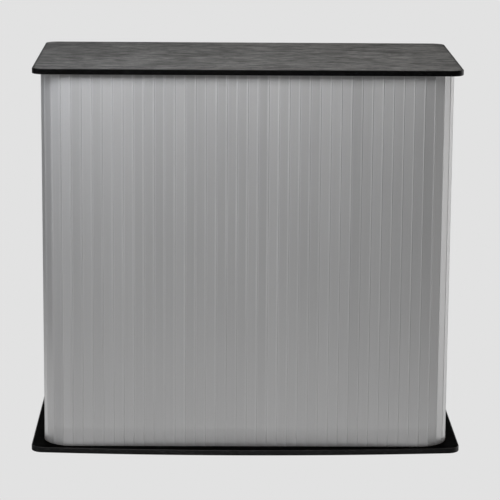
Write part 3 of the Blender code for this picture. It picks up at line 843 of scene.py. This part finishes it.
stud = [(0.0, -STUD_REACH), (THREAD_R - 0.0012, -STUD_REACH)] + thread(-STUD_REACH + 0.0006, BOARD_T + STUD_REACH - 0.0008)
stud += [(THREAD_R - 0.0012, BOARD_T + STUD_REACH), (0.0, BOARD_T + STUD_REACH)]
pin = [(0.0, -STUD_REACH), (THREAD_R - 0.0012, -STUD_REACH)] + thread(-STUD_REACH + 0.0006, -0.0006)
pin += [(PIN_R - 0.0002, GAP), (PIN_R, GAP + 0.0002), (PIN_R, 0.0022), (PIN_R - 0.0004, 0.0025), (PIN_R - 0.0004, 0.0030), (PIN_R, 0.0033),
        (PIN_R, PIN_H - 0.0028), (PIN_R - 0.0003, PIN_H - 0.0018), (PIN_R - 0.0009, PIN_H - 0.0008), (PIN_R - 0.0018, PIN_H - 0.0002),
        (PIN_R - 0.0028, PIN_H), (0.0, PIN_H)]
socket = [(SOCKET_BORE_R + 0.0010, 0.0002), (SOCKET_R - 0.0004, 0.0002), (SOCKET_R, 0.0006), (SOCKET_R, SOCKET_H - 0.0004),
          (SOCKET_R - 0.0004, SOCKET_H), (SOCKET_BORE_R - 0.002, SOCKET_H), (SOCKET_BORE_R - 0.002, SOCKET_H - 0.0002),
          (SOCKET_BORE_R, SOCKET_H - 0.0002), (SOCKET_BORE_R, 0.0014), (SOCKET_BORE_R + 0.0003, 0.0007)]
for where, (x, y) in POSTS.items():
    post("lower_post_" + where, (x, y), Z_BASE + GAP, SHELF_Z - GAP, "post_lower_" + where)
    post("upper_post_" + where, (x, y), SHELF_Z + BOARD_T + GAP, Z_TOP - GAP, "post_upper_" + where)
    socket_bolt("countersunk_bolt_" + where, (x, y), "base_bolt_" + where)
    turned_piece("threaded_stud_" + where, stud, (x, y, SHELF_Z), ZINC, "stand", "fastener", "shelf_stud_" + where)
    turned_piece("locating_pin_" + where, pin, (x, y, Z_TOP - GAP), ZINC, "stand", "fastener", "top_pin_" + where)
    turned_piece("pin_socket_" + where, socket, (x, y, Z_TOP), NYLON, "top", "nylon", "top_socket_" + where, closed=True)


# ---------------------------------------------------------------- studio
scene = bpy.context.scene
scene.view_settings.view_transform = "Standard"
scene.view_settings.look = "None"
PALE = 0.7605                        # the pale grey of floor and backdrop, linear


def stage_material(name, glow, albedo):
    s = Shader(name)
    s.set(Base_Color=(albedo, albedo, albedo, 1.0), Roughness=0.9, Specular_IOR_Level=0.0)
    s.set(Emission_Color=(1.0, 1.0, 1.0, 1.0), Emission_Strength=glow)
    return s.mat


bm = bmesh.new()
bmesh.ops.create_grid(bm, x_segments=1, y_segments=1, size=45.0)
floor = finish_piece(bm, "studio_floor", [stage_material("studio_floor_paint", PALE, 0.0)])
floor.location.z = -0.0002
# the floor is only there for views from above it
paint = floor.data.materials[0].node_tree
clear, side = paint.nodes.new("ShaderNodeBsdfTransparent"), paint.nodes.new("ShaderNodeNewGeometry")
either, last = paint.nodes.new("ShaderNodeMixShader"), next(n for n in paint.nodes if n.type == "OUTPUT_MATERIAL")
paint.links.new(side.outputs["Backfacing"], either.inputs[0])
paint.links.new(next(n for n in paint.nodes if n.type == "BSDF_PRINCIPLED").outputs[0], either.inputs[1])
paint.links.new(clear.outputs[0], either.inputs[2])
paint.links.new(either.outputs[0], last.inputs[0])
bm = bmesh.new()
bmesh.ops.create_uvsphere(bm, u_segments=64, v_segments=32, radius=40.0)
dome = finish_piece(bm, "studio_backdrop", [stage_material("studio_backdrop_paint", PALE, 0.0)])
for item in (floor, dome):
    item.visible_diffuse = False
    item.visible_glossy = False
    item.visible_transmission = False
    item.visible_shadow = False

world = bpy.data.worlds.new("studio")
scene.world = world
world.use_nodes = True
tree = world.node_tree
tree.nodes.clear()
out = tree.nodes.new("ShaderNodeOutputWorld")
back = tree.nodes.new("ShaderNodeBackground")
tree.links.new(back.outputs[0], out.inputs[0])
direction = tree.nodes.new("ShaderNodeTexCoord").outputs["Generated"]


def lobe(towards, sharpness, amount):
    """Soft light from one direction of the room."""
    dot = tree.nodes.new("ShaderNodeVectorMath")
    dot.operation = "DOT_PRODUCT"
    tree.links.new(direction, dot.inputs[0])
    dot.inputs[1].default_value = Vector(towards).normalized()
    shape = tree.nodes.new("ShaderNodeMath")
    shape.operation = "MULTIPLY_ADD"
    tree.links.new(dot.outputs["Value"], shape.inputs[0])
    shape.inputs[1].default_value, shape.inputs[2].default_value = sharpness, -sharpness
    grow = tree.nodes.new("ShaderNodeMath")
    grow.operation = "EXPONENT"
    tree.links.new(shape.outputs[0], grow.inputs[0])
    size = tree.nodes.new("ShaderNodeMath")
    size.operation = "MULTIPLY"
    tree.links.new(grow.outputs[0], size.inputs[0])
    size.inputs[1].default_value = amount
    return size.outputs[0]


def total(parts, ambient):
    value = None
    for part in parts:
        node = tree.nodes.new("ShaderNodeMath")
        node.operation = "ADD"
        tree.links.new(part, node.inputs[0])
        if value is None:
            node.inputs[1].default_value = ambient
        else:
            tree.links.new(value, node.inputs[1])
        value = node.outputs[0]
    return value


tree.links.new(total([
    lobe((0.0, 1.0, 0.35), 3.0, 0.20),
], 0.14), back.inputs["Strength"])
back.inputs["Color"].default_value = (1.0, 1.0, 1.0, 1.0)


def softbox(name, at, wide, high, watts, towards=(0.0, -0.05, 0.5), colour=(1.0, 1.0, 1.0)):
    data = bpy.data.lights.new(name, "AREA")
    data.color = colour
    data.shape = "RECTANGLE"
    data.size, data.size_y, data.energy = wide, high, watts
    obj = bpy.data.objects.new(name, data)
    scene.collection.objects.link(obj)
    obj.location = at
    obj.rotation_mode = "QUATERNION"
    obj.rotation_quaternion = (Vector(towards) - Vector(at)).to_track_quat("-Z", "Y")
    obj.visible_camera = False
    return obj


def around(azimuth, elevation, distance=4.5):
    """A place round the counter: azimuth 0 is in front of it, 90 to its right."""
    a, e = math.radians(azimuth), math.radians(elevation)
    return (distance * math.cos(e) * math.sin(a), -distance * math.cos(e) * math.cos(a), 0.5 + distance * math.sin(e))


COOL, WARM = (0.95, 1.0, 1.10), (1.0, 0.94, 0.86)
# close soft light over the front edge, key from the front left
softbox("front_overhead", (-0.2, -0.95, 1.85), 0.8, 0.4, 12.8)
softbox("front_low", (-0.3, -1.15, 1.45), 0.8, 0.4, 1.0)
softbox("front_low_left", (-0.85, -0.85, 1.45), 0.8, 0.4, 4.6, colour=COOL)
softbox("key_left", (-1.3, -1.9, 2.1), 1.0, 0.6, 2.8, colour=COOL)
# a low strip beside the left front corner
softbox("corner_left", (-0.90, -0.48, 1.08), 0.45, 0.15, 0.40, (-0.48, -0.20, 0.90), COOL)
softbox("key_middle", (-0.6, -1.9, 2.1), 1.0, 0.6, 9.2)
softbox("key_right", (0.1, -1.9, 2.1), 1.0, 0.6, 8.0)
# cards at both sides
for azimuth, elevation, watts in (
        (-70.0, -14.0, 2.2), (-70.0, 8.0, 5.2), (-45.0, -14.0, 3.2), (-45.0, 30.0, 22.4),
        (70.0, -14.0, 5.3), (95.0, -14.0, 11.9), (120.0, -14.0, 17.3), (120.0, 8.0, 28.1)):
    softbox(f"card_{azimuth:.0f}_{elevation:.0f}", around(azimuth, elevation), 1.7, 1.5, watts)
softbox("card_close_right", (1.6, 0.1, 0.6), 0.8, 0.5, 0.7)
# small warm lamp over the right half of the top
softbox("top_right", (0.42, 0.12, 1.75), 0.5, 0.3, 2.0, (0.42, 0.10, 0.965), WARM)
# low card behind, for the open back
softbox("card_behind", (0.0, 3.2, 0.50), 2.4, 0.8, 20.0, (0.0, 0.0, 0.48))
# light returned by the floor in front and at the left
for name, x, y, wide, deep, watts in (
        ("floor_front_near", 0.0, -0.38, 1.4, 0.08, 0.17), ("floor_front_close", 0.0, -0.485, 1.6, 0.13, 0.29),
        ("floor_front", 0.0, -0.425, 1.6, 0.25, 0.65), ("floor_front_mid", 0.0, -0.75, 2.0, 0.40, 1.49),
        ("floor_front_far", 0.0, -1.275, 2.6, 0.65, 0.91), ("floor_left_near", -0.70, 0.15, 0.28, 0.70, 0.55),
        ("floor_left", -1.10, 0.15, 0.50, 0.70, 1.00), ("floor_left_back", -1.0, 1.1, 1.2, 1.0, 2.1)):
    softbox(name, (x, y, -0.004), wide, deep, watts, (x, y, 1.0))

# ---------------------------------------------------------------- camera
YAW, PITCH_DOWN, ROLL = -0.0168, 0.2092, 0.0074
FOCAL_PX = 2348.77


def camera_turn():
    cy, sy = math.cos(YAW), math.sin(YAW)
    cp, sp = math.cos(PITCH_DOWN), math.sin(PITCH_DOWN)
    cr, sr = math.cos(ROLL), math.sin(ROLL)
    yaw = Matrix(((cy, sy, 0), (-sy, cy, 0), (0, 0, 1)))
    axes = Matrix(((1, 0, 0), (0, 0, -1), (0, 1, 0)))
    pitch = Matrix(((1, 0, 0), (0, cp, -sp), (0, sp, cp)))
    roll = Matrix(((cr, -sr, 0), (sr, cr, 0), (0, 0, 1)))
    to_camera = Matrix(((1, 0, 0), (0, -1, 0), (0, 0, -1))) @ roll @ pitch @ axes @ yaw
    return to_camera.transposed()


cam_data = bpy.data.cameras.new("camera")
cam_data.sensor_width = 36.0
cam_data.lens = FOCAL_PX * 36.0 / 500.0
cam_data.clip_start, cam_data.clip_end = 0.1, 200.0
cam = bpy.data.objects.new("camera", cam_data)
scene.collection.objects.link(cam)
cam.matrix_world = Matrix.Translation((-0.0876, -5.9094, 1.7187)) @ camera_turn().to_4x4()
scene.camera = cam
